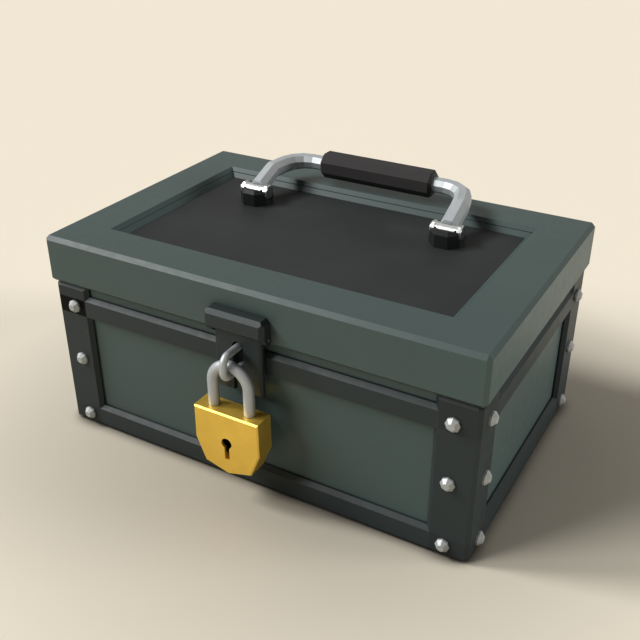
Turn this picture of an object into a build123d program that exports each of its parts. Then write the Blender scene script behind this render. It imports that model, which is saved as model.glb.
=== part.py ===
from build123d import *
import os
from math import cos, radians, sin

# Lock box: a sheet steel case with riveted corner trim, a hinged lid with a folding
# carry handle, and a hasp that a padlock holds over a staple.
# Sizes are in millimetres. X runs along the box, the hasp side faces -Y, Z is up.
# The origin is at the middle of the underside, on the surface that the box stands on.

# Case
body_length = 315.6
body_width = 206.1
body_height = 115.2
sheet = 2.0
rim_rise = 5.8
trim_thickness = 4.0
bevel = 2.7
cap_top_bevel = 2.2
strap_front_width = 28.5
strap_side_width = 29.3
bottom_cap_height = 15.7
top_cap_height = 22.3
rail_flat = 12.3
bottom_rail_flat = 15.7

# Rivets of the corner trim
rivet_head = 9.5
rivet_head_rise = 3.8
rivet_wall_share = 0.35
rivet_crown = 4.6
rivet_shank = 4.0
rivet_tail = 7.0
rivet_tail_rise = 1.5
rivet_inset = 16.4
rivet_bottom = 9.5
rivet_top_drop = 15.8
rivet_middle_rise = 2.4
hole_clearance = 0.1

# Lid
lid_overhang_x = 2.2
lid_overhang_y = 1.95
lid_height = 33.9
lid_gap = 0.4
hem_width = 3.4
hem_height = 5.0
frame_end_width = 31.9
frame_side_width = 31.3
recess_depth = 6.2
pan_wall = 3.0
panel_thickness = 2.0
panel_gap = 0.2
moulding_land = 0.6
moulding_bevel = 3.1

# Carry handle
pivot_half_spread = 77.2
pivot_inset = 72.1
pivot_rise = 9.0
journal_diameter = 9.8
journal_clearance = 0.08
collar_across = 10.4
collar_length = 3.0
collar_bevel = 0.8
collar_room = 0.3
barrel_length = 22.6
saddle_half = 8.1
boss_across = 23.0
boss_rise = 2.9
boss_bevel = 2.4
leg_across = 12.6
tube_across = 10.6
leg_start = 3.2
leg_room = 0.45
leg_reach = 21.9
leg_rise = 9.4
leg_lean = 0.4
grip_reach = 49.0
grip_rise = 11.3
shoulder_inset = 6.8
shoulder_radius = 15.0
shoulder_facets = 3
grip_length = 91.0
grip_across = 19.0
grip_bevel = 1.6
grip_bore_share = 1.12
screw_shank = 4.0
screw_head = 7.0
screw_head_rise = 2.4
screw_reach = 7.5
screw_spacing = 11.0

# Lid hinges
hinge_inset = 57.8
hinge_length = 36.0
hinge_leaf = 2.0
hinge_barrel = 8.0
hinge_pin = 4.0
hinge_pin_head = 6.0
hinge_pin_head_rise = 1.2
hinge_axis_out = 5.35
hinge_axis_drop = 0.2
hinge_clearance = 0.06
knuckle_share = 0.34
knuckle_gap = 0.2
turning_room = 0.3
leaf_height = 18.0
lid_rivet_share = 0.65
heel_length = 5.0
heel_thickness = 3.2
hinge_rivet_spacing = 20.0
hinge_rivet_head = 6.4
hinge_rivet_rise = 1.6
hinge_rivet_shank = 3.0
hinge_rivet_taper = 20.0

# Hasp
block_length = 44.0
block_depth = 9.2
block_height = 13.7
block_drop = 14.5
hasp_width = 34.5
hasp_thickness = 4.0
hasp_offset = 0.2
hasp_tail = 17.4
hasp_bevel = 1.3
hasp_pin = 2.2
hasp_pin_drop = 0.5
ear_radius = 3.2
ear_gap = 0.35
slot_width = 8.0
bolt_shank = 5.0
bolt_head = 8.5
bolt_head_rise = 3.0
bolt_reach = 6.0
bolt_spacing = 24.0

# Staple
staple_rod = 5.0
staple_stud = 4.2
stud_tail = 2.55
staple_rise = 2.5
staple_corner = 6.0
staple_front_run = 3.4
staple_front_gap = 0.5
plate_width = 22.0
plate_height = 34.0
plate_corner = 2.0
nut_across = 8.0
nut_height = 4.0

# Padlock
lock_half_width = 24.2
lock_shoulder_half = 24.5
lock_jaw_half = 17.6
lock_shoulder_drop = 24.7
lock_jaw_drop = 41.5
lock_tip_drop = 46.3
lock_thickness = 16.0
lock_bevel = 0.9
shackle_rod = 7.4
shackle_half_spread = 13.5
shackle_out = 15.35
shackle_rise = 31.7
link_gap = 0.3
shackle_clearance = 0.25
heel_depth = 30.0
toe_depth = 12.0
lock_travel = 11.0
spring_height = 9.0
spring_wire = 0.7
spring_turns = 6
spring_lift = 0.1
spring_room = 0.3
notch_depth = 2.4
notch_height = 3.6
notch_rise = 4.0
bolt_thickness = 3.2
latch_length = 11.0
latch_travel = 3.0
latch_gap = 0.25
retainer_diameter = 2.5
retainer_length = 12.0
retainer_bite = 1.4
retainer_drop = 11.0
retainer_gap = 0.15
retainer_room = 0.3
front_wall = 1.8
drum_diameter = 17.6
drum_clearance = 0.06
drum_drop = 22.1
keyhole_radius = 3.9
keyhole_slot = 3.7
keyhole_drop = 12.4
keyway_drop = 8.2
keyway_depth = 9.0

# Places that follow from the sizes above
half_x = body_length / 2
half_y = body_width / 2
tub_x = half_x - trim_thickness
tub_y = half_y - trim_thickness
rim_z = body_height + rim_rise
top_cap_z = body_height - top_cap_height
rivet_x = half_x - rivet_inset
rivet_y = half_y - rivet_inset
rivet_top = body_height - rivet_top_drop
rivet_middle = (rivet_bottom + rivet_top) / 2 + rivet_middle_rise
rivet_heights = (rivet_bottom, rivet_middle, rivet_top)
rivet_hole = rivet_shank + 2 * hole_clearance

lid_x = half_x + lid_overhang_x
lid_y = half_y + lid_overhang_y
lid_length = 2 * lid_x
lid_width = 2 * lid_y
lid_z = body_height + lid_gap
lid_top = lid_z + lid_height
recess_x = lid_x - frame_end_width
recess_y = lid_y - frame_side_width
pan_x = recess_x - bevel
pan_y = recess_y - bevel
panel_top = lid_top - recess_depth
pan_z = panel_top - panel_thickness
pan_under = pan_z - sheet
moulding_x = pan_x - panel_gap
moulding_y = pan_y - panel_gap
panel_x = moulding_x - moulding_land - moulding_bevel - panel_gap
panel_y = moulding_y - moulding_land - moulding_bevel - panel_gap

pivot_y = lid_y - pivot_inset
pivot_z = panel_top + pivot_rise
boss_height = pivot_rise + boss_rise
journal_radius = journal_diameter / 2
collar_radius = collar_across / 2 / cos(radians(22.5))
grip_y = pivot_y + grip_reach
grip_z = pivot_z + grip_rise

hinge_spacing = body_length - 2 * hinge_inset
hinge_axis_y = half_y + hinge_axis_out
hinge_z = lid_z - hinge_axis_drop
knuckle = hinge_length * knuckle_share
leaf_top = lid_z + leaf_height
lid_rivet_z = lid_z + leaf_height * lid_rivet_share
case_rivet_z = top_cap_z + rail_flat * 0.5

strap_back = -(lid_y + hasp_offset)
strap_front = strap_back - hasp_thickness
block_top = lid_top - block_drop
block_bottom = block_top - block_height
hasp_pin_y = strap_back - hasp_thickness / 2
hasp_pin_z = block_bottom - hasp_pin_drop

shackle_y = -(half_y + shackle_out)
staple_low = top_cap_z + staple_rise
staple_high = staple_low + 2 * staple_corner + staple_front_run
staple_front = shackle_y - (shackle_rod + staple_rod) / 2 - staple_front_gap
staple_stud_end = -(tub_y - 2 * sheet - nut_height - stud_tail)
hasp_bottom = staple_low - hasp_tail
bow_z = staple_low + (staple_rod + shackle_rod) / 2 + link_gap
lock_top = bow_z - shackle_rise
lock_shoulder = lock_top - lock_shoulder_drop
lock_jaw = lock_top - lock_jaw_drop
lock_tip = lock_top - lock_tip_drop
drum_z = lock_top - drum_drop
shackle_bore = shackle_rod + 2 * shackle_clearance
lock_front = shackle_y - lock_thickness / 2
lock_back = shackle_y + lock_thickness / 2
heel_bottom = lock_top - heel_depth
toe_bottom = lock_top - toe_depth
latch_z = toe_bottom + notch_height / 2 + notch_rise
latch_nose_x = shackle_half_spread - shackle_rod / 2 + notch_depth - latch_gap
latch_channel = (latch_nose_x - latch_length - latch_travel - latch_gap, shackle_half_spread)
retainer_z = lock_top - retainer_drop
retainer_x = -shackle_half_spread - shackle_rod / 2 + retainer_bite - retainer_diameter / 2 - retainer_gap

corners = {"fl": (-1, -1), "fr": (1, -1), "bl": (-1, 1), "br": (1, 1)}
sides = {"left": -1, "right": 1}

os.makedirs("parts", exist_ok=True)


def save(piece, label):
    """Name a finished piece and write it to its own file."""
    piece.part.label = label
    export_step(piece.part, f"parts/{label}.step")


def angle_outline(sx, sy):
    """The L section of a corner angle, bevelled outside and along both free edges."""
    inner_x = half_x - strap_front_width
    inner_y = half_y - strap_side_width
    points = [
        (inner_x + bevel, half_y),
        (half_x - bevel, half_y),
        (half_x, half_y - bevel),
        (half_x, inner_y + bevel),
        (half_x - bevel, inner_y),
        (tub_x, inner_y),
        (tub_x, tub_y),
        (inner_x, tub_y),
        (inner_x, half_y - bevel),
    ]
    return [(sx * x, sy * y) for x, y in points]


def angle_solid(sx, sy, low, high):
    """A length of corner angle between two heights."""
    with BuildPart() as angle:
        with BuildSketch(Plane.XY.offset(low)):
            with BuildLine():
                Polyline(*angle_outline(sx, sy), close=True)
            make_face()
        extrude(amount=high - low)
    return angle.part


def face_plane(sx, sy, along_x, z):
    """A plane on the outside of the trim at a rivet, facing outwards."""
    if along_x:
        return Plane(origin=(sx * rivet_x, sy * half_y, z), x_dir=(1, 0, 0), z_dir=(0, sy, 0))
    return Plane(origin=(sx * half_x, sy * rivet_y, z), x_dir=(0, 1, 0), z_dir=(sx, 0, 0))


def rivet_planes(sx, sy, heights):
    """The places of the rivets on both faces of one corner."""
    return [face_plane(sx, sy, along_x, z) for along_x in (True, False) for z in heights]


# The outer shape of the trimmed case, which bevels every trim piece
with BuildPart() as case_shape:
    Box(body_length, body_width, body_height, align=(Align.CENTER, Align.CENTER, Align.MIN))
    chamfer(case_shape.edges().filter_by(Axis.Z), length=bevel)
    chamfer(case_shape.faces().sort_by(Axis.Z)[0].edges(), length=bevel)
    chamfer(case_shape.faces().sort_by(Axis.Z)[-1].edges(), length=cap_top_bevel)


def case_panels():
    """The bottom and the four walls of sheet steel, with a raised rim and all their holes."""
    inner_x = tub_x - sheet
    inner_y = tub_y - sheet
    walls = {
        "front": (0, -tub_y + sheet / 2, 2 * tub_x, sheet),
        "back": (0, tub_y - sheet / 2, 2 * tub_x, sheet),
        "left": (-tub_x + sheet / 2, 0, sheet, 2 * inner_y),
        "right": (tub_x - sheet / 2, 0, sheet, 2 * inner_y),
    }
    for name, (x, y, length, width) in walls.items():
        with BuildPart() as wall:
            with Locations((x, y, 0)):
                Box(length, width, rim_z, align=(Align.CENTER, Align.CENTER, Align.MIN))
            for sx, sy in corners.values():
                with Locations(*rivet_planes(sx, sy, rivet_heights)):
                    Cylinder(rivet_hole / 2, 4 * trim_thickness, mode=Mode.SUBTRACT)
            with Locations(*staple_planes()):
                Cylinder(staple_stud / 2 + hole_clearance, 4 * trim_thickness, mode=Mode.SUBTRACT)
            with Locations(*hinge_rivet_planes(case_rivet_z, half_y)):
                Cylinder(hinge_rivet_shank / 2 + hole_clearance, 4 * trim_thickness, mode=Mode.SUBTRACT)
        save(wall, f"case_{name}")
    with BuildPart() as bottom:
        Box(2 * inner_x, 2 * inner_y, sheet, align=(Align.CENTER, Align.CENTER, Align.MIN))
    save(bottom, "case_bottom")


def corner_trim(name, sx, sy):
    """The top cap, the strap and the bottom cap of one corner."""
    spans = {
        "bottom_cap": (0.0, bottom_cap_height, rivet_bottom),
        "corner_strap": (bottom_cap_height, top_cap_z, rivet_middle),
        "top_cap": (top_cap_z, body_height, rivet_top),
    }
    for kind, (low, high, rivet_z) in spans.items():
        with BuildPart() as trim:
            add(angle_solid(sx, sy, low, high))
            add(case_shape.part, mode=Mode.INTERSECT)
            with Locations(*rivet_planes(sx, sy, [rivet_z])):
                Cylinder(rivet_hole / 2, 4 * trim_thickness, mode=Mode.SUBTRACT)
        save(trim, f"{kind}_{name}")


def rail(name, side, low, flat_top):
    """A rail along one side, mitred into the corner angles at both ends."""
    along_x = side in ("front", "back")
    sign = 1 if side in ("back", "right") else -1
    outer = half_y if along_x else half_x
    inner = outer - trim_thickness
    length = body_length if along_x else body_width
    section = [
        (inner, low),
        (outer, low),
        (outer, flat_top),
        (outer - bevel, flat_top + bevel),
        (inner, flat_top + bevel),
    ]
    plane = Plane.YZ if along_x else Plane.XZ
    with BuildPart() as bar:
        with BuildSketch(plane):
            with BuildLine():
                Polyline(*[(sign * across, up) for across, up in section], close=True)
            make_face()
        extrude(amount=length / 2, both=True)
        add(case_shape.part, mode=Mode.INTERSECT)
        for sx, sy in corners.values():
            add(angle_solid(sx, sy, 0, body_height), mode=Mode.SUBTRACT)
        if name == "top_rail" and side == "front":
            with Locations(*staple_planes()):
                Cylinder(staple_stud / 2 + hole_clearance, 4 * trim_thickness, mode=Mode.SUBTRACT)
        if name == "top_rail" and side == "back":
            with Locations(*hinge_rivet_planes(case_rivet_z, half_y)):
                Cylinder(hinge_rivet_shank / 2 + hole_clearance, 4 * trim_thickness, mode=Mode.SUBTRACT)
    save(bar, f"{name}_{side}")


def corner_rivets(name, sx, sy):
    """The six rivets of one corner: faceted dome, shank and flattened tail."""
    grip = trim_thickness + sheet
    with BuildPart() as rivets:
        for plane in rivet_planes(sx, sy, rivet_heights):
            with BuildSketch(plane):
                RegularPolygon(rivet_head / 2, 8)
            extrude(amount=rivet_head_rise * rivet_wall_share)
            with BuildSketch(plane.offset(rivet_head_rise * rivet_wall_share)):
                RegularPolygon(rivet_head / 2, 8)
            with BuildSketch(plane.offset(rivet_head_rise)):
                RegularPolygon(rivet_crown / 2, 8)
            loft(ruled=True)
            with BuildSketch(plane.offset(-grip)):
                Circle(rivet_shank / 2)
            extrude(amount=grip)
            with BuildSketch(plane.offset(-grip - rivet_tail_rise)):
                Circle(rivet_tail / 2)
            extrude(amount=rivet_tail_rise)
    save(rivets, f"corner_rivets_{name}")


# Staple


def staple_planes():
    """Planes through both staple legs, facing outwards at the front."""
    return [
        Plane(origin=(0, -half_y, z), x_dir=(1, 0, 0), z_dir=(0, -1, 0))
        for z in (staple_low, staple_high)
    ]


def staple():
    """The rod eye that stands out of the case front, with a thinner stud on each leg."""
    low_seat = -half_y
    high_seat = -tub_y
    with BuildPart() as eye:
        with BuildLine() as path:
            FilletPolyline(
                (0, high_seat, staple_high),
                (0, staple_front, staple_high),
                (0, staple_front, staple_low),
                (0, low_seat, staple_low),
                radius=staple_corner,
            )
        with BuildSketch(Plane(origin=(0, high_seat, staple_high), x_dir=(1, 0, 0), z_dir=(0, -1, 0))):
            Circle(staple_rod / 2)
        sweep(path=path.line)
        for seat, z in ((high_seat, staple_high), (low_seat, staple_low)):
            with BuildSketch(Plane(origin=(0, seat, z), x_dir=(1, 0, 0), z_dir=(0, 1, 0))):
                Circle(staple_stud / 2)
            extrude(amount=staple_stud_end - seat)
    save(eye, "staple")

    middle = (staple_low + staple_high) / 2
    inside = Plane(origin=(0, -tub_y + sheet, middle), x_dir=(1, 0, 0), z_dir=(0, 1, 0))
    half_pitch = (staple_high - staple_low) / 2
    with BuildPart() as plate:
        with BuildSketch(inside):
            Rectangle(plate_width, plate_height)
            with Locations((0, half_pitch), (0, -half_pitch)):
                Circle(staple_stud / 2 + hole_clearance, mode=Mode.SUBTRACT)
        extrude(amount=sheet)
        chamfer(plate.edges().filter_by(Axis.Y), length=plate_corner)
    save(plate, "staple_backing_plate")

    with BuildPart() as nuts:
        with BuildSketch(inside.offset(sheet)):
            with Locations((0, half_pitch), (0, -half_pitch)):
                RegularPolygon(nut_across / 2, 6, major_radius=False)
                Circle(staple_stud / 2, mode=Mode.SUBTRACT)
        extrude(amount=nut_height)
    save(nuts, "staple_nuts")


# Lid


def lid_shell():
    """The pressed lid: a wide bevelled frame round a sunken pan, hollow underneath."""
    with BuildPart() as shell:
        with Locations((0, 0, lid_z)):
            Box(lid_length, lid_width, lid_height, align=(Align.CENTER, Align.CENTER, Align.MIN))
        chamfer(shell.edges(), length=bevel)
        with BuildSketch(Plane.XY.offset(lid_top)):
            Rectangle(2 * recess_x, 2 * recess_y)
        with BuildSketch(Plane.XY.offset(lid_top - bevel)):
            Rectangle(2 * pan_x, 2 * pan_y)
        loft(ruled=True, mode=Mode.SUBTRACT)
        with BuildSketch(Plane.XY.offset(lid_top - bevel)):
            Rectangle(2 * pan_x, 2 * pan_y)
        extrude(amount=pan_z - lid_top + bevel, mode=Mode.SUBTRACT)
        with BuildSketch(Plane.XY.offset(lid_z)):
            Rectangle(lid_length - 2 * hem_width, lid_width - 2 * hem_width)
        extrude(amount=hem_height, mode=Mode.SUBTRACT)
        with BuildSketch(Plane.XY.offset(lid_z + hem_height)):
            Rectangle(lid_length - 2 * sheet, lid_width - 2 * sheet)
        extrude(amount=pan_under - lid_z - hem_height, mode=Mode.SUBTRACT)
        with BuildSketch(Plane.XY.offset(pan_under)):
            Rectangle(lid_length - 2 * sheet, lid_width - 2 * sheet)
            Rectangle(2 * (recess_x + pan_wall), 2 * (recess_y + pan_wall), mode=Mode.SUBTRACT)
        extrude(amount=lid_top - sheet - pan_under, mode=Mode.SUBTRACT)
        with Locations(*screw_planes()):
            Cylinder(screw_shank / 2 + hole_clearance, 4 * sheet, mode=Mode.SUBTRACT)
        with Locations(*bolt_planes()):
            Cylinder(bolt_shank / 2 + hole_clearance, 4 * sheet, mode=Mode.SUBTRACT)
        with Locations(*hinge_rivet_planes(lid_rivet_z, lid_y)):
            Cylinder(hinge_rivet_shank / 2 + hole_clearance, 4 * sheet, mode=Mode.SUBTRACT)
    save(shell, "lid_shell")


def lid_moulding():
    """The bevelled frame that holds the panel down in the pan."""
    face = panel_top + moulding_bevel
    inner_x = moulding_x - moulding_land
    inner_y = moulding_y - moulding_land
    with BuildPart() as moulding:
        with BuildSketch(Plane.XY.offset(pan_z)):
            Rectangle(2 * moulding_x, 2 * moulding_y)
            Rectangle(2 * (inner_x - moulding_bevel), 2 * (inner_y - moulding_bevel), mode=Mode.SUBTRACT)
        extrude(amount=face - pan_z)
        with BuildSketch(Plane.XY.offset(panel_top)):
            Rectangle(2 * (inner_x - moulding_bevel), 2 * (inner_y - moulding_bevel))
        with BuildSketch(Plane.XY.offset(face)):
            Rectangle(2 * inner_x, 2 * inner_y)
        loft(ruled=True, mode=Mode.SUBTRACT)
    save(moulding, "lid_moulding")


def lid_panel():
    """The flat black panel in the pan, drilled for the handle screws."""
    with BuildPart() as panel:
        with BuildSketch(Plane.XY.offset(pan_z)):
            Rectangle(2 * panel_x, 2 * panel_y)
        extrude(amount=panel_thickness)
        with Locations(*screw_planes()):
            Cylinder(screw_shank / 2 + hole_clearance, 4 * sheet, mode=Mode.SUBTRACT)
    save(panel, "lid_panel")


# Carry handle


def screw_planes():
    """Planes on the underside of the pan at the handle screws, facing down."""
    return [
        Plane(
            origin=(side * pivot_half_spread, pivot_y + step * screw_spacing / 2, pan_under),
            z_dir=(0, 0, -1),
        )
        for side in sides.values()
        for step in (-1, 1)
    ]


def handle_boss(name, side):
    """An eight-sided boss with a saddle for the handle's barrel and a ramp behind it."""
    middle = side * pivot_half_spread
    half_leg = leg_across / 2 + leg_room
    lean = Vector(0, leg_reach, leg_rise).normalized()
    under = Vector(0, lean.Z, -lean.Y) * half_leg
    far = lean * boss_across
    with BuildPart() as boss:
        with BuildSketch(Plane.XY.offset(panel_top)):
            with Locations((middle, pivot_y)):
                RegularPolygon(boss_across / 2, 8, major_radius=False, rotation=22.5)
        extrude(amount=boss_height)
        chamfer(boss.faces().sort_by(Axis.Z)[-1].edges(), length=boss_bevel)
        with Locations(*screw_planes()):
            Cylinder(screw_shank / 2, 2 * screw_reach, mode=Mode.SUBTRACT)
        add(turned_bar(middle, journal_radius + journal_clearance, boss_across), mode=Mode.SUBTRACT)
        add(turned_bar(middle, half_leg, 2 * half_leg), mode=Mode.SUBTRACT)
        for step in (-1, 1):
            beside = middle + step * (saddle_half + boss_across / 2)
            add(turned_bar(beside, collar_radius + collar_room, boss_across), mode=Mode.SUBTRACT)
        with BuildSketch(Plane.YZ.offset(middle - half_leg)):
            with BuildLine():
                Polyline(
                    (pivot_y - half_leg, pivot_z),
                    (pivot_y - half_leg, pivot_z + boss_across),
                    (pivot_y + far.Y, pivot_z + boss_across),
                    (pivot_y + far.Y + under.Y, pivot_z + far.Z + under.Z),
                    (pivot_y + under.Y, pivot_z + under.Z),
                    (pivot_y, pivot_z),
                    close=True,
                )
            make_face()
        extrude(amount=2 * half_leg, mode=Mode.SUBTRACT)
    save(boss, f"handle_boss_{name}")


def turned_bar(middle, radius, length):
    """A round bar on the handle's axis."""
    with BuildPart() as bar:
        with BuildSketch(Plane.YZ.offset(middle - length / 2)):
            with Locations((pivot_y, pivot_z)):
                Circle(radius)
        extrude(amount=length)
    return bar.part


def handle_barrels():
    """The two barrels the handle turns on, with an eight-sided collar on each end."""
    collar_end = collar_across / 2 - collar_bevel
    with BuildPart() as barrels:
        for side in sides.values():
            middle = side * pivot_half_spread
            add(turned_bar(middle, journal_radius, barrel_length))
            for step in (-1, 1):
                start = middle + step * barrel_length / 2
                with BuildSketch(Plane.YZ.offset(start - step * collar_length)):
                    with Locations((pivot_y, pivot_z)):
                        RegularPolygon(collar_across / 2, 8, major_radius=False, rotation=22.5)
                extrude(amount=step * (collar_length - collar_bevel))
                with BuildSketch(Plane.YZ.offset(start - step * collar_bevel)):
                    with Locations((pivot_y, pivot_z)):
                        RegularPolygon(collar_across / 2, 8, major_radius=False, rotation=22.5)
                with BuildSketch(Plane.YZ.offset(start)):
                    with Locations((pivot_y, pivot_z)):
                        RegularPolygon(collar_end, 8, major_radius=False, rotation=22.5)
                loft(ruled=True)
    save(barrels, "handle_barrels")


def handle_screws():
    """The four screws that pull the bosses down through the panel and the pan."""
    with BuildPart() as screws:
        for plane in screw_planes():
            with BuildSketch(plane):
                Circle(screw_head / 2)
            extrude(amount=screw_head_rise)
            with BuildSketch(plane):
                Circle(screw_shank / 2)
            extrude(amount=-screw_reach)
    save(screws, "handle_screws")


def bail_path():
    """The centre line of the right half of the handle, from its foot to the middle."""
    crank = Vector(pivot_half_spread - leg_lean, pivot_y + leg_reach, pivot_z + leg_rise)
    corner = Vector(pivot_half_spread - shoulder_inset, grip_y, grip_z)
    pivot = Vector(pivot_half_spread, pivot_y, pivot_z)
    along = (corner - crank).normalized()
    points = [pivot + (crank - pivot).normalized() * leg_start, crank]
    for step in range(shoulder_facets + 1):
        turn = radians(90 * step / shoulder_facets)
        inward = shoulder_radius * (1 - cos(turn))
        ahead = shoulder_radius * (1 - sin(turn))
        spot = corner - along * ahead
        points.append(Vector(spot.X - inward, spot.Y, spot.Z))
    points.append(Vector(0, grip_y, grip_z))
    return points


def bail_planes(points):
    """A plane across the tube at each point, halfway between the runs that meet there."""
    runs = [(b - a).normalized() for a, b in zip(points, points[1:])]
    planes = []
    for index, point in enumerate(points):
        before = runs[max(index - 1, 0)]
        after = runs[min(index, len(runs) - 1)]
        forward = (before + after).normalized()
        sideways = Vector(0, -grip_rise, grip_reach).cross(forward).normalized()
        planes.append((Plane(origin=point, x_dir=sideways, z_dir=forward), before.dot(forward)))
    return planes


def handle_tube():
    """The eight-sided tube of the carry handle, wider in the legs than in the grip."""
    points = bail_path()
    planes = bail_planes(points)
    last = len(planes) - 2
    with BuildPart() as tube:
        for index, (plane, lean) in enumerate(planes):
            share = min(index, last) / last
            across = leg_across + (tube_across - leg_across) * share
            with BuildSketch(plane):
                RegularPolygon(across / 2, 8, major_radius=False, rotation=22.5)
                scale(by=(1 / lean, 1, 1))
        loft(ruled=True)
        mirror(about=Plane.YZ)
        for side in sides.values():
            add(turned_bar(side * pivot_half_spread, journal_radius, barrel_length), mode=Mode.SUBTRACT)
    save(tube, "handle_tube")


def handle_grip():
    """The eight-sided grip sleeve on the straight of the tube."""
    with BuildPart() as grip:
        with BuildSketch(Plane.YZ.offset(-grip_length / 2)):
            with Locations((grip_y, grip_z)):
                RegularPolygon(grip_across / 2, 8, major_radius=False, rotation=22.5)
        extrude(amount=grip_length)
        chamfer(grip.faces().filter_by(Axis.X).edges(), length=grip_bevel)
        with BuildSketch(Plane.YZ.offset(-grip_length / 2)):
            with Locations((grip_y, grip_z)):
                Circle(tube_across / 2 * grip_bore_share)
        extrude(amount=grip_length, mode=Mode.SUBTRACT)
    save(grip, "handle_grip")


# Lid hinges


def hinge_rivet_planes(z, face):
    """Planes on a back face at the hinge rivets, facing outwards."""
    return [
        Plane(origin=(side * hinge_spacing / 2 + step * hinge_rivet_spacing / 2, face, z),
              x_dir=(-1, 0, 0), z_dir=(0, 1, 0))
        for side in sides.values()
        for step in (-1, 1)
    ]


def barrel(middle, length):
    """A length of hinge barrel without its bore."""
    with BuildPart() as tube:
        with BuildSketch(Plane.YZ.offset(middle - length / 2)):
            with Locations((hinge_axis_y, hinge_z)):
                Circle(hinge_barrel / 2)
        extrude(amount=length)
    return tube.part


def leaf(middle, face, low, high):
    """A plain hinge leaf on a back face."""
    with BuildPart() as plate:
        with BuildSketch(Plane(origin=(middle, face, (low + high) / 2), x_dir=(1, 0, 0), z_dir=(0, 1, 0))):
            Rectangle(hinge_length, high - low)
        extrude(amount=hinge_leaf)
    return plate.part


def pin_bore(middle):
    """The hole for the hinge pin through the whole barrel."""
    with BuildPart() as bore:
        with BuildSketch(Plane.YZ.offset(middle - hinge_length)):
            with Locations((hinge_axis_y, hinge_z)):
                Circle(hinge_pin / 2 + hinge_clearance)
        extrude(amount=2 * hinge_length)
    return bore.part


def clear_slot(middle, length):
    """The room that a turning knuckle needs in the leaf beside it."""
    with BuildPart() as room:
        with BuildSketch(Plane.YZ.offset(middle - length / 2)):
            with Locations((hinge_axis_y, hinge_z)):
                Circle(hinge_barrel / 2 + turning_room)
        extrude(amount=length)
        with Locations((middle, hinge_axis_y, hinge_z + hinge_barrel / 4)):
            Box(length, hinge_barrel, hinge_barrel / 2)
    return room.part


def hinge(name, side):
    """One lid hinge: case leaf, lid leaf with its heel stop, and the pin."""
    middle = side * hinge_spacing / 2
    outer_middle = (hinge_length - knuckle) / 2 + knuckle_gap / 2 + knuckle / 2
    outer_length = (hinge_length - knuckle) / 2 - knuckle_gap
    outer_offset = hinge_length / 2 - outer_length / 2

    with BuildPart() as case_leaf:
        add(leaf(middle, half_y, top_cap_z, hinge_z))
        add(clear_slot(middle, knuckle + 2 * knuckle_gap), mode=Mode.SUBTRACT)
        for step in (-1, 1):
            add(barrel(middle + step * outer_offset, outer_length))
        add(pin_bore(middle), mode=Mode.SUBTRACT)
        with Locations(*hinge_rivet_planes(case_rivet_z, half_y)):
            Cylinder(hinge_rivet_shank / 2 + hole_clearance, 4 * hinge_leaf, mode=Mode.SUBTRACT)
    save(case_leaf, f"hinge_case_leaf_{name}")

    with BuildPart() as lid_leaf:
        add(leaf(middle, lid_y, hinge_z, leaf_top))
        for step in (-1, 1):
            add(clear_slot(middle + step * outer_offset, outer_length + knuckle_gap), mode=Mode.SUBTRACT)
            with Locations((middle + step * outer_offset, lid_y, hinge_z)):
                Box(outer_length + 2 * knuckle_gap, 2 * hinge_barrel, hinge_barrel + 1, mode=Mode.SUBTRACT)
        add(barrel(middle, knuckle))
        with Locations((middle, hinge_axis_y + hinge_barrel / 2, hinge_z)):
            Box(knuckle, 2 * heel_length, heel_thickness)
        add(pin_bore(middle), mode=Mode.SUBTRACT)
        with Locations(*hinge_rivet_planes(lid_rivet_z, lid_y)):
            Cylinder(hinge_rivet_shank / 2 + hole_clearance, 4 * hinge_leaf, mode=Mode.SUBTRACT)
    save(lid_leaf, f"hinge_lid_leaf_{name}")

    with BuildPart() as pin:
        with BuildSketch(Plane.YZ.offset(middle - hinge_length / 2)):
            with Locations((hinge_axis_y, hinge_z)):
                Circle(hinge_pin / 2)
        extrude(amount=hinge_length)
        for end, way in ((-hinge_length / 2, -1), (hinge_length / 2, 1)):
            with BuildSketch(Plane.YZ.offset(middle + end)):
                with Locations((hinge_axis_y, hinge_z)):
                    Circle(hinge_pin_head / 2)
            extrude(amount=way * hinge_pin_head_rise)
    save(pin, f"hinge_pin_{name}")


def hinge_rivets(label, z, face, thickness):
    """Pan head rivets through a leaf and what is behind it."""
    with BuildPart() as rivets:
        for plane in hinge_rivet_planes(z, face):
            with BuildSketch(plane.offset(hinge_leaf)):
                Circle(hinge_rivet_head / 2)
            extrude(amount=hinge_rivet_rise, taper=hinge_rivet_taper)
            with BuildSketch(plane.offset(-thickness)):
                Circle(hinge_rivet_shank / 2)
            extrude(amount=thickness + hinge_leaf)
            with BuildSketch(plane.offset(-thickness - hinge_rivet_rise)):
                Circle(hinge_rivet_head / 2)
            extrude(amount=hinge_rivet_rise)
    save(rivets, label)


# Hasp


def bolt_planes():
    """Planes inside the lid front at the hasp bolts, facing inwards."""
    z = block_top - block_height / 2
    return [
        Plane(origin=(step * bolt_spacing / 2, -lid_y + sheet, z), x_dir=(1, 0, 0), z_dir=(0, 1, 0))
        for step in (-1, 1)
    ]


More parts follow.
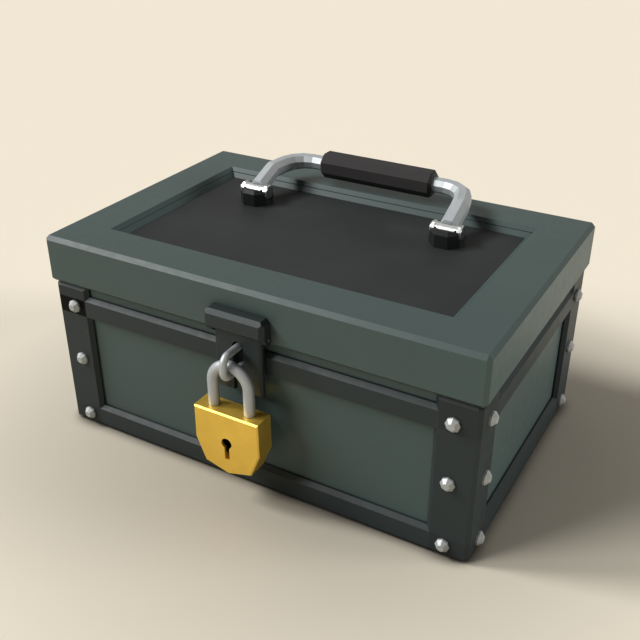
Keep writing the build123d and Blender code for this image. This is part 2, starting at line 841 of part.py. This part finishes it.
def hasp_block():
    """The block on the lid front with an ear at each end for the hasp pin."""
    ear = (block_length - hasp_width) / 2 - ear_gap
    with BuildPart() as block:
        with Locations((0, -lid_y, block_bottom)):
            Box(block_length, block_depth, block_height, align=(Align.CENTER, Align.MAX, Align.MIN))
        chamfer(block.faces().sort_by(Axis.Y)[0].edges(), length=bevel)
        chamfer(block.faces().sort_by(Axis.Z)[-1].edges().filter_by(Axis.Y), length=bevel)
        for side in sides.values():
            with BuildSketch(Plane.YZ.offset(side * (block_length / 2 - ear / 2) - ear / 2)):
                with Locations((hasp_pin_y, hasp_pin_z)):
                    Circle(ear_radius)
                with Locations((hasp_pin_y, hasp_pin_z + ear_radius / 2)):
                    Rectangle(2 * ear_radius, ear_radius)
                with Locations((-lid_y, hasp_pin_z)):
                    Rectangle(
                        block_depth,
                        4 * ear_radius,
                        align=(Align.MIN, Align.CENTER),
                        mode=Mode.SUBTRACT,
                    )
            extrude(amount=ear)
        add(hasp_bar(ear_radius, hasp_width + 2 * ear_gap), mode=Mode.SUBTRACT)
        add(hasp_bar(hasp_pin / 2, 2 * block_length), mode=Mode.SUBTRACT)
        with Locations(*bolt_planes()):
            Cylinder(bolt_shank / 2, 2 * (bolt_reach + sheet), mode=Mode.SUBTRACT)
    save(block, "hasp_block")


def hasp_bar(radius, length):
    """A round bar on the hasp pin's axis."""
    with BuildPart() as bar:
        with BuildSketch(Plane.YZ.offset(-length / 2)):
            with Locations((hasp_pin_y, hasp_pin_z)):
                Circle(radius)
        extrude(amount=length)
    return bar.part


def hasp_bolts():
    """The two bolts that hold the block, with their heads inside the lid."""
    with BuildPart() as bolts:
        for plane in bolt_planes():
            with BuildSketch(plane):
                RegularPolygon(bolt_head / 2, 6)
            extrude(amount=bolt_head_rise)
            with BuildSketch(plane):
                Circle(bolt_shank / 2)
            extrude(amount=-(bolt_reach + sheet))
    save(bolts, "hasp_bolts")


def hasp_pin_rod():
    """The pin that the hasp strap swings on."""
    with BuildPart() as pin:
        add(hasp_bar(hasp_pin / 2, block_length))
    save(pin, "hasp_pin")


def hasp_strap():
    """The hasp strap: a bevelled flat, rounded over its pin, with a fork round the staple."""
    with BuildPart() as strap:
        with Locations((0, strap_back, hasp_bottom)):
            Box(hasp_width, hasp_thickness, hasp_pin_z - hasp_bottom,
                align=(Align.CENTER, Align.MAX, Align.MIN))
        front = strap.faces().sort_by(Axis.Y)[0]
        chamfer(front.edges().filter_by(Axis.Z) + front.edges().sort_by(Axis.Z)[0:1], length=hasp_bevel)
        add(hasp_bar(hasp_thickness / 2, hasp_width))
        add(hasp_bar(hasp_pin / 2 + hinge_clearance, hasp_width), mode=Mode.SUBTRACT)
        with BuildSketch(Plane(origin=(0, strap_front - 1, 0), x_dir=(1, 0, 0), z_dir=(0, 1, 0))):
            with Locations((0, -staple_high)):
                Circle(slot_width / 2)
            with Locations((0, -(staple_high + hasp_bottom - 1) / 2)):
                Rectangle(slot_width, staple_high - hasp_bottom + 1)
        extrude(amount=hasp_thickness + 2, mode=Mode.SUBTRACT)
    save(strap, "hasp_strap")


# Padlock


def padlock_shackle():
    """The bent rod of the padlock: a long captive heel leg and a short notched toe."""
    leg_x = shackle_half_spread
    bow_spring = bow_z - leg_x
    with BuildPart() as shackle:
        with BuildLine() as path:
            heel = Line((-leg_x, shackle_y, heel_bottom), (-leg_x, shackle_y, bow_spring))
            bow = ThreePointArc(heel @ 1, (0, shackle_y, bow_z), (leg_x, shackle_y, bow_spring))
            Line(bow @ 1, (leg_x, shackle_y, toe_bottom))
        with BuildSketch(Plane.XY.offset(heel_bottom)):
            with Locations((-shackle_half_spread, shackle_y)):
                Circle(shackle_rod / 2)
        sweep(path=path.line)
        inner = shackle_half_spread - shackle_rod / 2
        slope = latch_travel / lock_travel
        low = latch_z - notch_height / 2
        high = latch_z + notch_height / 2
        tip_depth = notch_depth - (low - toe_bottom) * slope
        with BuildSketch(Plane.XZ.offset(-shackle_y - shackle_rod)):
            with BuildLine():
                Polyline(
                    (inner - 1, high),
                    (inner + notch_depth, high),
                    (inner + notch_depth, low),
                    (inner + tip_depth, toe_bottom - 0.01),
                    (inner - 1, toe_bottom - 0.01),
                    close=True,
                )
            make_face()
        extrude(amount=2 * shackle_rod, mode=Mode.SUBTRACT)
        flat_top = retainer_z + retainer_diameter / 2 + retainer_room
        with Locations((-shackle_half_spread - shackle_rod / 2, shackle_y, flat_top)):
            Box(2 * retainer_bite, 2 * shackle_rod, lock_travel + retainer_diameter + 2 * retainer_room,
                align=(Align.CENTER, Align.CENTER, Align.MAX), mode=Mode.SUBTRACT)
    save(shackle, "padlock_shackle")


def lock_outline():
    """The front outline of the padlock case."""
    return [
        (lock_half_width, lock_top),
        (lock_shoulder_half, lock_shoulder),
        (lock_jaw_half, lock_jaw),
        (0, lock_tip),
        (-lock_jaw_half, lock_jaw),
        (-lock_shoulder_half, lock_shoulder),
        (-lock_half_width, lock_top),
    ]


def padlock_case():
    """The solid brass case, bored for both legs, the drum, the latch and the retainer."""
    with BuildPart() as case:
        with BuildSketch(Plane.XZ.offset(-lock_front)):
            with BuildLine():
                Polyline(*lock_outline(), close=True)
            make_face()
        extrude(amount=-lock_thickness)
        chamfer(case.faces().filter_by(Axis.Y).edges(), length=lock_bevel)
        heel_bore = (-shackle_half_spread, heel_bottom - spring_height)
        toe_bore = (shackle_half_spread, toe_bottom - 1)
        for x, low in (heel_bore, toe_bore):
            with BuildSketch(Plane.XY.offset(low)):
                with Locations((x, shackle_y)):
                    Circle(shackle_bore / 2)
            extrude(amount=lock_top - low + 1, mode=Mode.SUBTRACT)
        with BuildSketch(Plane.XZ.offset(-lock_front)):
            keyhole_outline(keyhole_drop)
        extrude(amount=-front_wall - keyway_depth, mode=Mode.SUBTRACT)
        with BuildSketch(Plane.XZ.offset(-lock_front - front_wall)):
            with Locations((0, drum_z)):
                Circle(drum_diameter / 2 + drum_clearance)
        extrude(amount=-lock_thickness, mode=Mode.SUBTRACT)
        low_x, high_x = latch_channel
        latch_room = bolt_thickness + 2 * latch_gap
        with Locations(((low_x + high_x) / 2, shackle_y, latch_z)):
            Box(high_x - low_x, latch_room, latch_room, mode=Mode.SUBTRACT)
        with BuildSketch(Plane.XZ.offset(-lock_back)):
            with Locations((retainer_x, retainer_z)):
                Circle(retainer_diameter / 2)
        extrude(amount=retainer_length, mode=Mode.SUBTRACT)
    save(case, "padlock_case")


def keyhole_outline(drop):
    """A round hole over a slot that reaches a given drop below the key's axis."""
    with Locations((0, drum_z)):
        Circle(keyhole_radius)
    with Locations((0, drum_z - drop / 2)):
        Rectangle(keyhole_slot, drop)


def padlock_retainer():
    """The cross pin, put in from the back, that keeps the heel leg in the case."""
    with BuildPart() as pin:
        with BuildSketch(Plane.XZ.offset(-lock_back)):
            with Locations((retainer_x, retainer_z)):
                Circle(retainer_diameter / 2)
        extrude(amount=retainer_length)
    save(pin, "padlock_retaining_pin")


def padlock_latch():
    """The sliding latch whose nose stands in the toe's notch."""
    with BuildPart() as latch:
        with Locations((latch_nose_x - latch_length / 2, shackle_y, latch_z)):
            Box(latch_length, bolt_thickness, bolt_thickness)
    save(latch, "padlock_latch")


def padlock_drum():
    """The key drum behind the front wall, with its keyway, flush with the back."""
    with BuildPart() as drum:
        with BuildSketch(Plane.XZ.offset(-lock_front - front_wall - drum_clearance)):
            with Locations((0, drum_z)):
                Circle(drum_diameter / 2)
        extrude(amount=-(lock_thickness - front_wall - drum_clearance))
        with BuildSketch(Plane.XZ.offset(-lock_front - front_wall)):
            keyhole_outline(keyway_drop)
        extrude(amount=-keyway_depth, mode=Mode.SUBTRACT)
    save(drum, "padlock_key_drum")


def padlock_spring():
    """The compression spring under the heel leg."""
    radius = shackle_rod / 2 - spring_wire
    low = heel_bottom - spring_height + spring_wire / 2 + spring_lift
    rise = spring_height - spring_wire - spring_lift - spring_room
    with BuildPart() as spring:
        with BuildLine() as path:
            Helix(
                pitch=rise / spring_turns,
                height=rise,
                radius=radius,
                center=(-shackle_half_spread, shackle_y, low),
            )
        with BuildSketch(Plane(origin=path.line @ 0, z_dir=path.line % 0)):
            Circle(spring_wire / 2)
        sweep(path=path.line, is_frenet=True)
    save(spring, "padlock_spring")


case_panels()
for corner_name, (sign_x, sign_y) in corners.items():
    corner_trim(corner_name, sign_x, sign_y)
    corner_rivets(corner_name, sign_x, sign_y)
for side_name in ("front", "back", "left", "right"):
    rail("top_rail", side_name, top_cap_z, top_cap_z + rail_flat)
    rail("bottom_rail", side_name, 0.0, bottom_rail_flat)
staple()
lid_shell()
lid_moulding()
lid_panel()
for side_name, sign_x in sides.items():
    handle_boss(side_name, sign_x)
    hinge(side_name, sign_x)
handle_barrels()
handle_screws()
handle_tube()
handle_grip()
hinge_rivets("hinge_case_rivets", case_rivet_z, half_y, trim_thickness + sheet)
hinge_rivets("hinge_lid_rivets", lid_rivet_z, lid_y, sheet)
hasp_block()
hasp_bolts()
hasp_pin_rod()
hasp_strap()
padlock_shackle()
padlock_case()
padlock_retainer()
padlock_latch()
padlock_drum()
padlock_spring()
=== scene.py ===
import math

import bmesh
import bpy
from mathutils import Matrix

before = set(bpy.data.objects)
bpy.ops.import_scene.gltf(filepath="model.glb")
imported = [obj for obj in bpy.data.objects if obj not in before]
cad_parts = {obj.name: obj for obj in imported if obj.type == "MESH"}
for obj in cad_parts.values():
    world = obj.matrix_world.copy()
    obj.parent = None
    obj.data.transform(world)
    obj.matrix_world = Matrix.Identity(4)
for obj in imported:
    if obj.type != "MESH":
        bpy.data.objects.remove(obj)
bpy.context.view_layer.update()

# Sizes are in metres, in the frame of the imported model: X along the box, the hasp side
# faces -Y, Z is up and the floor is at Z = 0. Angles are in degrees.

MM = 0.001

# Camera: a 50 mm lens above the front right corner
LENS = 50.0
SENSOR = 36.0
CAMERA_PLACE = (0.27826, -0.49291, 0.39322)
CAMERA_YAW = 29.76
CAMERA_PITCH = 29.17

# Colours, linear
GREEN = (0.058, 0.086, 0.082)
GREEN_WORN = (0.100, 0.130, 0.120)
CHARCOAL = (0.021, 0.029, 0.030)
CAP_CHARCOAL = (0.016, 0.022, 0.023)
CHARCOAL_WORN = (0.060, 0.067, 0.064)
PANEL_BLACK = (0.031, 0.034, 0.034)
PLASTIC_BLACK = (0.018, 0.019, 0.019)
SHADE_BAND_BLACK = (0.003, 0.003, 0.003)
RUBBER = (0.038, 0.036, 0.036)
STEEL = (0.46, 0.48, 0.49)
SATIN_GREY = (0.48, 0.51, 0.53)
DARK_STEEL = (0.05, 0.05, 0.05)
CHROME = (0.62, 0.64, 0.65)
ZINC = (0.42, 0.44, 0.44)
BRASS = (0.95, 0.62, 0.10)

# Roughness of the two enamels
GREEN_ROUGHNESS = 0.42
TRIM_ROUGHNESS = 0.48

# How strongly paint and plastic mirror, 0.5 being plain varnish
PAINT_SHEEN = 0.24
PLASTIC_SHEEN = 0.10

# Where a noise has most of its values, and the range of a share
NOISE_RANGE = (0.3, 0.7)
SHARE = (0.0, 1.0)

# Paint: lumps per metre and fineness of its tone, gloss, rubbed patches and orange peel
PAINT_TONE = (9.0, 3.0)
PAINT_GLOSS = (160.0, 3.0)
PAINT_PATCHES = (70.0, 6.0)
PAINT_PEEL = (900.0, 2.0)

# Paint: its darkest and lightest shade, how far its roughness changes, how strong and deep
# its peel is, how wide and how strongly its edges are rubbed, and how patchily
PAINT_SHADES = (0.96, 1.04)
PAINT_ROUGHNESS_CHANGE = 0.03
PEEL_STRENGTH = 0.06
PEEL_DEPTH = 0.1 * MM
PAINT_EDGE = 0.9 * MM
PAINT_WEAR = 0.25
PATCH_RANGE = (0.38, 0.66)
PATCH_SHARE = (0.15, 1.0)

# Plastic: lumps per metre and fineness of its tone, the fineness of its grain, its darkest
# and lightest shade, how far its roughness changes, its grain's strength, and its paler edges
PLASTIC_TONE = (22.0, 4.0)
PLASTIC_GRAIN_DETAIL = 3.0
PLASTIC_SHADES = (0.85, 1.18)
PLASTIC_ROUGHNESS_CHANGE = 0.05
PLASTIC_GRAIN_STRENGTH = 0.25
PLASTIC_EDGE = 0.6 * MM
PLASTIC_EDGE_SHADE = 2.2
PLASTIC_EDGE_SHARE = 0.4

# Metal: lumps per metre and fineness of its stains, their range and shade, the same of its
# grain, how far that changes the roughness, how deep it is, and its brighter edges
METAL_STAINS = (60.0, 4.0)
STAIN_RANGE = (0.35, 0.7)
STAIN_SHADE = 0.90
METAL_GRAIN = 500.0
METAL_GRAIN_DETAIL = 4.0
METAL_SMOOTHER = 0.06
METAL_ROUGHER = 0.08
METAL_GRAIN_STRENGTH = 0.08
METAL_GRAIN_DEPTH = 0.05 * MM
METAL_EDGE = 0.5 * MM
METAL_EDGE_SHADE = 1.25
METAL_EDGE_SHARE = 0.5

# Cosine of a rounded normal's turn where an edge starts to show, and where it shows in full
EDGE_TURN = (0.999, 0.93)
EDGE_SAMPLES = 4

# Painted shade: darker creases in the paint, and a painted contact shadow where the box stands:
# how far they reach, and their shade
CREASE_SHADE = (3.0 * MM, 0.35)
PANEL_CREASE_SHADE = (5.0 * MM, 0.08)
CONTACT_SHADOW = (12.0 * MM, 0.05)

# How open a place is where its painted crease shade is darkest, and where it ends
CREASE_OPENNESS = (0.25, 0.85)
CREASE_SAMPLES = 6

# Near-black bands of painted shade on two caps: the heights between them, and how squarely a face
# looks outwards
SHADE_BAND_BOTTOM = 92.9 * MM
SHADE_BAND_TOP = 105.3 * MM
SHADE_BAND_SQUARE = 0.9

# How wide the CAD edges are broken, in how many steps, and which angles count as edges
SHEET_BREAK = 0.35 * MM
TUBE_BREAK = 0.5 * MM
BARREL_BREAK = 0.3 * MM
LOCK_BREAK = 0.2 * MM
SMALL_BREAK = 0.15 * MM
BREAK_STEPS = 2
BREAK_ANGLE = 30

# Floor: half its side, its roughness, and its colours at two distances from a middle; the near
# one is painted shadow
FLOOR_HALF = 30.0
FLOOR_ROUGHNESS = 0.9
FLOOR_SHADOW_MIDDLE = (0.034, -0.029, 0.0)
FLOOR_SHADOW_NEAR = (0.080, (0.476, 0.434, 0.357))
FLOOR_FAR = (0.312, (0.93, 0.846, 0.697))

# Lamps: name, where it comes from (turn from +X and height), softness, and strength
SUNS = [
    ("left", 198, 41, 14, 1.96),
    ("front_left", 225, 38, 22, 1.66),
    ("high_back", 135, 58, 22, 0.06),
    ("right", 25, 12, 22, 2.05),
    ("high_right", 60, 60, 22, 0.06),
]

# A lamp lower than this isn't mirrored, because its glare would whiten the lid
GLARE_HEIGHT = 20

# The sky: how much it lights, how bright it shows in metal, and its colour behind the
# box, which is the far floor's as the lamps show it
SKY_COLOUR = (1.0, 0.95, 0.87, 1.0)
SKY_LIGHT = 0.05
SKY_MIRRORED = 0.50
BACKDROP = (0.87, 0.80, 0.655, 1.0)

# Sockets of a mix node that mixes colours: its two colours, and what comes out
FIRST_COLOUR = 6
SECOND_COLOUR = 7
MIXED_COLOUR = 2


def node(tree, kind, **values):
    """A new node, with its settings and its unlinked inputs given by name."""
    made = tree.nodes.new(kind)
    for key, value in values.items():
        if hasattr(made, key):
            setattr(made, key, value)
        else:
            made.inputs[key.replace("_", " ")].default_value = value
    return made


def feed(tree, socket, value):
    """Give a socket a link to another socket, a colour or a number."""
    if isinstance(value, bpy.types.NodeSocket):
        tree.links.new(value, socket)
    elif isinstance(value, tuple):
        socket.default_value = (*value, 1.0)
    else:
        socket.default_value = value


def shader(name):
    """A new material with its node tree and its main shader."""
    material = bpy.data.materials.new(name)
    material.use_nodes = True
    tree = material.node_tree
    return material, tree, tree.nodes["Principled BSDF"]


def position_on_piece(tree):
    """The place on a piece in its own frame, so that its grain moves with it."""
    return node(tree, "ShaderNodeTexCoord").outputs["Object"]


def noise(tree, position, lumps, detail):
    """A noise with so many lumps per metre, and finer lumps within them."""
    made = node(tree, "ShaderNodeTexNoise", Scale=lumps, Detail=detail)
    tree.links.new(position, made.inputs["Vector"])
    return made.outputs["Fac"]


def remap(tree, value, source, target):
    """A value moved from one range to another."""
    low, high = source
    to_low, to_high = target
    made = node(
        tree, "ShaderNodeMapRange",
        From_Min=low, From_Max=high, To_Min=to_low, To_Max=to_high,
    )
    tree.links.new(value, made.inputs["Value"])
    return made.outputs["Result"]


def mix_colour(tree, share, first, second, blend="MIX"):
    """A blend of two colours."""
    made = node(tree, "ShaderNodeMix", data_type="RGBA", blend_type=blend)
    feed(tree, made.inputs["Factor"], share)
    feed(tree, made.inputs[FIRST_COLOUR], first)
    feed(tree, made.inputs[SECOND_COLOUR], second)
    return made.outputs[MIXED_COLOUR]


def compute(tree, operation, first, second):
    """What a math node makes of two values."""
    made = node(tree, "ShaderNodeMath", operation=operation)
    feed(tree, made.inputs[0], first)
    feed(tree, made.inputs[1], second)
    return made.outputs[0]


def coordinate(tree, vector, axis):
    """One coordinate of a vector."""
    made = node(tree, "ShaderNodeSeparateXYZ")
    tree.links.new(vector, made.inputs[0])
    return made.outputs[axis]


def shade_of(colour, shade):
    """A colour made darker or lighter."""
    return tuple(min(1.0, shade * part) for part in colour)


def edge_mask(tree, radius):
    """1 along sharp edges and 0 elsewhere, from how far a rounded normal turns there."""
    rounded = node(tree, "ShaderNodeBevel", samples=EDGE_SAMPLES, Radius=radius)
    plain = node(tree, "ShaderNodeNewGeometry")
    turn = node(tree, "ShaderNodeVectorMath", operation="DOT_PRODUCT")
    tree.links.new(rounded.outputs["Normal"], turn.inputs[0])
    tree.links.new(plain.outputs["Normal"], turn.inputs[1])
    return remap(tree, turn.outputs["Value"], EDGE_TURN, SHARE)


def painted_crease_shade(tree, colour, reach, shade):
    """A colour with painted shade, darker where another surface stands close by."""
    near = node(tree, "ShaderNodeAmbientOcclusion", samples=CREASE_SAMPLES, Distance=reach)
    openness = remap(tree, near.outputs["AO"], CREASE_OPENNESS, SHARE)
    dark = mix_colour(tree, 1.0, colour, (shade, shade, shade), "MULTIPLY")
    return mix_colour(tree, openness, dark, colour)


def relief(tree, main, height, strength, depth):
    """Fine surface relief."""
    made = node(tree, "ShaderNodeBump", Strength=strength, Distance=depth)
    tree.links.new(height, made.inputs["Height"])
    tree.links.new(made.outputs["Normal"], main.inputs["Normal"])


def paint(name, colour, worn, roughness, wear=PAINT_WEAR, crease_shade=CREASE_SHADE):
    """Enamel on steel: soft tone changes, orange peel, painted shade in creases and rubbed edges.
    """
    material, tree, main = shader(name)
    position = position_on_piece(tree)
    broad = remap(tree, noise(tree, position, *PAINT_TONE), NOISE_RANGE, SHARE)
    darker, lighter = [shade_of(colour, shade) for shade in PAINT_SHADES]
    tone = mix_colour(tree, broad, darker, lighter)
    patches = remap(tree, noise(tree, position, *PAINT_PATCHES), PATCH_RANGE, PATCH_SHARE)
    rubbed = compute(tree, "MULTIPLY", edge_mask(tree, PAINT_EDGE), patches)
    coat = mix_colour(tree, remap(tree, rubbed, SHARE, (0.0, wear)), tone, worn)
    # Creases get painted shade
    tree.links.new(painted_crease_shade(tree, coat, *crease_shade), main.inputs["Base Color"])
    roughness_range = (roughness - PAINT_ROUGHNESS_CHANGE, roughness + PAINT_ROUGHNESS_CHANGE)
    gloss = remap(tree, noise(tree, position, *PAINT_GLOSS), NOISE_RANGE, roughness_range)
    tree.links.new(gloss, main.inputs["Roughness"])
    main.inputs["Specular IOR Level"].default_value = PAINT_SHEEN
    relief(tree, main, noise(tree, position, *PAINT_PEEL), PEEL_STRENGTH, PEEL_DEPTH)
    return material


def shade_banded_paint(name, axis, outwards):
    """Cap enamel with a near-black band of painted shade across the face that looks outwards on
    one axis.
    """
    material = paint(name, CAP_CHARCOAL, CHARCOAL_WORN, TRIM_ROUGHNESS)
    tree = material.node_tree
    main = tree.nodes["Principled BSDF"]
    geometry = node(tree, "ShaderNodeNewGeometry")
    height = coordinate(tree, geometry.outputs["Position"], "Z")
    facing = coordinate(tree, geometry.outputs["Normal"], axis)
    under = compute(tree, "LESS_THAN", height, SHADE_BAND_TOP)
    over = compute(tree, "GREATER_THAN", height, SHADE_BAND_BOTTOM)
    outer = compute(tree, "GREATER_THAN", compute(tree, "MULTIPLY", facing, outwards), SHADE_BAND_SQUARE)
    shade_band = compute(tree, "MULTIPLY", compute(tree, "MULTIPLY", under, over), outer)
    enamel = main.inputs["Base Color"].links[0].from_socket
    # Near-black painted shade across the band
    tree.links.new(mix_colour(tree, shade_band, enamel, SHADE_BAND_BLACK), main.inputs["Base Color"])
    # The painted shade band is a black metal, which mirrors nothing, where black paint would
    # still look grey
    tree.links.new(shade_band, main.inputs["Metallic"])
    return material


def plastic(name, colour, roughness, grain, depth):
    """Moulded plastic or rubber with a fine matt grain, a little paler along its edges."""
    material, tree, main = shader(name)
    position = position_on_piece(tree)
    broad = noise(tree, position, *PLASTIC_TONE)
    darker, lighter = [shade_of(colour, shade) for shade in PLASTIC_SHADES]
    tone = mix_colour(tree, remap(tree, broad, NOISE_RANGE, SHARE), darker, lighter)
    edges = remap(tree, edge_mask(tree, PLASTIC_EDGE), SHARE, (0.0, PLASTIC_EDGE_SHARE))
    body = mix_colour(tree, edges, tone, shade_of(colour, PLASTIC_EDGE_SHADE))
    tree.links.new(body, main.inputs["Base Color"])
    roughness_range = (roughness - PLASTIC_ROUGHNESS_CHANGE, roughness + PLASTIC_ROUGHNESS_CHANGE)
    tree.links.new(remap(tree, broad, NOISE_RANGE, roughness_range), main.inputs["Roughness"])
    main.inputs["Specular IOR Level"].default_value = PLASTIC_SHEEN
    fine = noise(tree, position, grain, PLASTIC_GRAIN_DETAIL)
    relief(tree, main, fine, PLASTIC_GRAIN_STRENGTH, depth)
    return material


def metal(name, colour, roughness, grain=METAL_GRAIN, bare=1.0):
    """Metal with soft stains, a fine grain and brighter edges; bare is 0 for a grey coat."""
    material, tree, main = shader(name)
    main.inputs["Metallic"].default_value = bare
    position = position_on_piece(tree)
    stains = remap(tree, noise(tree, position, *METAL_STAINS), STAIN_RANGE, SHARE)
    tone = mix_colour(tree, stains, shade_of(colour, STAIN_SHADE), colour)
    edges = remap(tree, edge_mask(tree, METAL_EDGE), SHARE, (0.0, METAL_EDGE_SHARE))
    body = mix_colour(tree, edges, tone, shade_of(colour, METAL_EDGE_SHADE))
    tree.links.new(body, main.inputs["Base Color"])
    fine = noise(tree, position, grain, METAL_GRAIN_DETAIL)
    roughness_range = (roughness - METAL_SMOOTHER, roughness + METAL_ROUGHER)
    tree.links.new(remap(tree, fine, NOISE_RANGE, roughness_range), main.inputs["Roughness"])
    relief(tree, main, fine, METAL_GRAIN_STRENGTH, METAL_GRAIN_DEPTH)
    return material


def dress(names, material, width):
    """Give CAD nodes a material and softly broken edges."""
    for name in names:
        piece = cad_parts[name]
        piece.data.materials.clear()
        piece.data.materials.append(material)
        edge = piece.modifiers.new("edges", "BEVEL")
        edge.width = width
        edge.segments = BREAK_STEPS
        edge.limit_method = "ANGLE"
        edge.angle_limit = math.radians(BREAK_ANGLE)
        edge.harden_normals = True


def named(*starts):
    """The CAD nodes whose names start with any of these words."""
    return [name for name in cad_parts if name.startswith(starts)]


def dress_case_and_lid():
    """Green enamel on the case's panels and on the lid, and the lid's sunken black panel."""
    green = paint("green_enamel", GREEN, GREEN_WORN, GREEN_ROUGHNESS)
    dress(named("case_") + ["lid_shell"], green, SHEET_BREAK)
    # The moulding's enamel has no rubbed edges and a deeper painted crease shade, a dark shadow
    # line along the panel
    moulding = paint(
        "moulding_enamel", GREEN, GREEN_WORN, GREEN_ROUGHNESS, wear=0.0, crease_shade=PANEL_CREASE_SHADE
    )
    dress(["lid_moulding"], moulding, SMALL_BREAK)
    panel = plastic("panel_black", PANEL_BLACK, roughness=0.55, grain=1400.0, depth=0.05 * MM)
    dress(["lid_panel"], panel, SHEET_BREAK)


def dress_trim():
    """Charcoal enamel on the trim and the hasp, and the painted shade bands of two top caps."""
    charcoal = paint("charcoal_enamel", CHARCOAL, CHARCOAL_WORN, TRIM_ROUGHNESS)
    trim = named("corner_strap", "top_rail", "bottom_rail", "hasp_block", "hasp_strap")
    dress(trim, charcoal, SHEET_BREAK)
    caps = paint("cap_enamel", CAP_CHARCOAL, CHARCOAL_WORN, TRIM_ROUGHNESS)
    dress(named("bottom_cap", "top_cap"), caps, SHEET_BREAK)
    for name, axis, outwards in (("top_cap_fl", "Y", -1), ("top_cap_br", "X", 1)):
        shade_banded = shade_banded_paint(f"{name}_enamel", axis, outwards)
        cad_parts[name].data.materials[0] = shade_banded


def dress_handle():
    """The carry handle: black bosses, a rubber grip, a satin tube and chrome barrels."""
    boss = plastic("boss_black", PLASTIC_BLACK, roughness=0.38, grain=1800.0, depth=0.03 * MM)
    dress(named("handle_boss"), boss, SHEET_BREAK)
    grip = plastic("grip_rubber", RUBBER, roughness=0.60, grain=1500.0, depth=0.08 * MM)
    dress(["handle_grip"], grip, SHEET_BREAK)
    tube = metal("satin_tube", SATIN_GREY, roughness=0.52, bare=0.5)
    dress(["handle_tube"], tube, TUBE_BREAK)
    dress(["handle_barrels"], metal("chrome", CHROME, roughness=0.30), BARREL_BREAK)


def dress_lock():
    """The staple and the padlock."""
    satin = metal("satin_chrome", SATIN_GREY, roughness=0.50, bare=0.6)
    dress(["staple", "padlock_shackle"], satin, LOCK_BREAK)
    drum = metal("dark_steel", DARK_STEEL, roughness=0.45)
    dress(["padlock_key_drum"], drum, LOCK_BREAK)
    brass = metal("brass", BRASS, roughness=0.38, grain=700.0, bare=0.75)
    dress(["padlock_case", "padlock_latch"], brass, LOCK_BREAK)


def dress_small_parts():
    """Zinc rivets on the trim, and plain steel for hinges, bolts, nuts, pins and spring."""
    dress(named("corner_rivets"), metal("zinc", ZINC, roughness=0.50, bare=0.4), SMALL_BREAK)
    steel = metal("plain_steel", STEEL, roughness=0.36)
    outside = named("hinge", "staple_", "handle_screws", "hasp_bolts", "hasp_pin")
    dress(outside + named("padlock_ret", "padlock_spr"), steel, SMALL_BREAK)


def floor():
    """The plain pale floor, a little darker round the box by a painted shadow."""
    mesh = bpy.data.meshes.new("floor")
    sheet = bmesh.new()
    bmesh.ops.create_grid(sheet, x_segments=1, y_segments=1, size=FLOOR_HALF)
    sheet.to_mesh(mesh)
    sheet.free()
    ground = bpy.data.objects.new("floor", mesh)
    bpy.context.scene.collection.objects.link(ground)
    material, tree, main = shader("floor_paper")
    away = node(tree, "ShaderNodeVectorMath", operation="DISTANCE")
    away.inputs[1].default_value = FLOOR_SHADOW_MIDDLE
    tree.links.new(node(tree, "ShaderNodeNewGeometry").outputs["Position"], away.inputs[0])
    near, shadow_colour = FLOOR_SHADOW_NEAR
    far, far_colour = FLOOR_FAR
    share = remap(tree, away.outputs["Value"], (near, far), SHARE)
    # The darker near colour is a painted shadow round the box
    plain = mix_colour(tree, share, shadow_colour, far_colour)
    # Painted contact shadow where the box stands
    tree.links.new(painted_crease_shade(tree, plain, *CONTACT_SHADOW), main.inputs["Base Color"])
    main.inputs["Roughness"].default_value = FLOOR_ROUGHNESS
    main.inputs["Specular IOR Level"].default_value = 0.0
    mesh.materials.append(material)


def camera():
    """The camera at the photograph's place."""
    data = bpy.data.cameras.new("camera")
    data.lens = LENS
    data.sensor_width = SENSOR
    eye = bpy.data.objects.new("camera", data)
    eye.location = CAMERA_PLACE
    eye.rotation_euler = (math.radians(90 - CAMERA_PITCH), 0.0, math.radians(CAMERA_YAW))
    bpy.context.scene.collection.objects.link(eye)
    bpy.context.scene.camera = eye


def lamps():
    """Wide, soft lamps far off."""
    for name, turn, height, softness, strength in SUNS:
        data = bpy.data.lights.new(name, "SUN")
        data.angle = math.radians(softness)
        data.energy = strength
        lamp = bpy.data.objects.new(name, data)
        lamp.visible_glossy = height > GLARE_HEIGHT
        lamp.rotation_euler = (0.0, math.radians(90 - height), math.radians(turn))
        bpy.context.scene.collection.objects.link(lamp)


def sky():
    """An even sky, brighter where it is mirrored, and a plain backdrop for the camera."""
    world = bpy.data.worlds.new("sky")
    world.use_nodes = True
    tree = world.node_tree
    light = tree.nodes["Background"]
    light.inputs["Color"].default_value = SKY_COLOUR
    path = node(tree, "ShaderNodeLightPath")
    strength = remap(tree, path.outputs["Is Glossy Ray"], SHARE, (SKY_LIGHT, SKY_MIRRORED))
    tree.links.new(strength, light.inputs["Strength"])
    backdrop = node(tree, "ShaderNodeBackground", Color=BACKDROP)
    chosen = node(tree, "ShaderNodeMixShader")
    tree.links.new(path.outputs["Is Camera Ray"], chosen.inputs["Fac"])
    tree.links.new(light.outputs["Background"], chosen.inputs[1])
    tree.links.new(backdrop.outputs["Background"], chosen.inputs[2])
    tree.links.new(chosen.outputs["Shader"], tree.nodes["World Output"].inputs["Surface"])
    bpy.context.scene.world = world


camera()
floor()
lamps()
sky()
dress_case_and_lid()
dress_trim()
dress_handle()
dress_lock()
dress_small_parts()
bpy.context.scene.view_settings.view_transform = "Standard"
